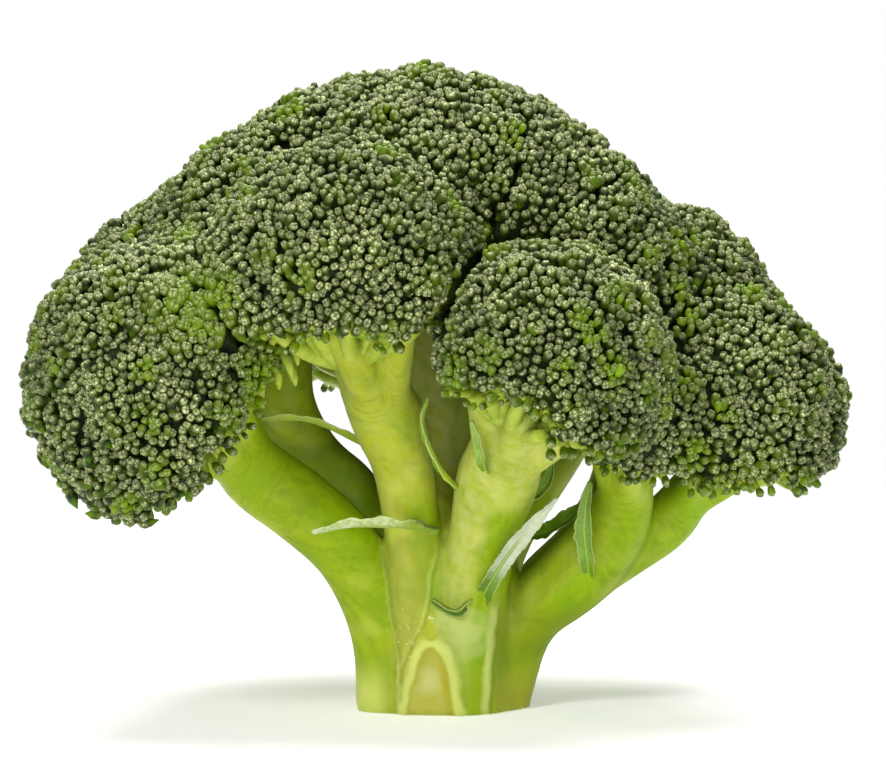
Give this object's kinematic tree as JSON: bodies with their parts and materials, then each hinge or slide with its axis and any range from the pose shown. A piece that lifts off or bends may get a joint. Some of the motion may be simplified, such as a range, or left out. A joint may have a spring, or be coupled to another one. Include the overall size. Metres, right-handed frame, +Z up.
{
  "type": "broccoli head",
  "caption": "Whole head of broccoli standing on its flat cut end: a thick stalk splits into branches under a domed crown of small green buds, with a few small leaves.",
  "frame": {"origin": "centre of the flat cut end that the head stands on", "axes": "+Z up along the stalk, -Y towards the side with the leaf scar, +X to the right as seen from that side"},
  "size_m": [0.1603, 0.1426, 0.1276],
  "materials": {
    "buds": "matte dark green flower buds with a pale waxy bloom",
    "stalk": "smooth, slightly waxy yellow-green stalk",
    "leaf": "thin matte green leaf with a paler underside"
  },
  "bodies": {
    "root": {"floret_back_left": "buds", "floret_back_mid_left": "buds", "floret_back_mid_right": "buds", "floret_back_right": "buds", "floret_front_left": "buds", "floret_front_right": "buds", "floret_left": "buds", "floret_left_high": "buds", "floret_left_shoulder": "buds", "floret_right": "buds", "floret_right_high": "buds", "floret_right_low": "buds", "floret_right_shoulder": "buds", "floret_top": "buds", "floret_top_back": "buds", "floret_top_far": "buds", "floret_top_left": "buds", "floret_top_right": "buds", "leaf_across": "leaf", "leaf_back": "leaf", "leaf_back_left": "leaf", "leaf_back_right": "leaf", "leaf_collar": "leaf", "leaf_flap": "leaf", "leaf_hook": "leaf", "leaf_inner": "leaf", "leaf_low": "leaf", "leaf_pale": "leaf", "leaf_strap": "leaf", "leaf_upright": "leaf", "stalk": "stalk"}
  },
  "joints": []
}
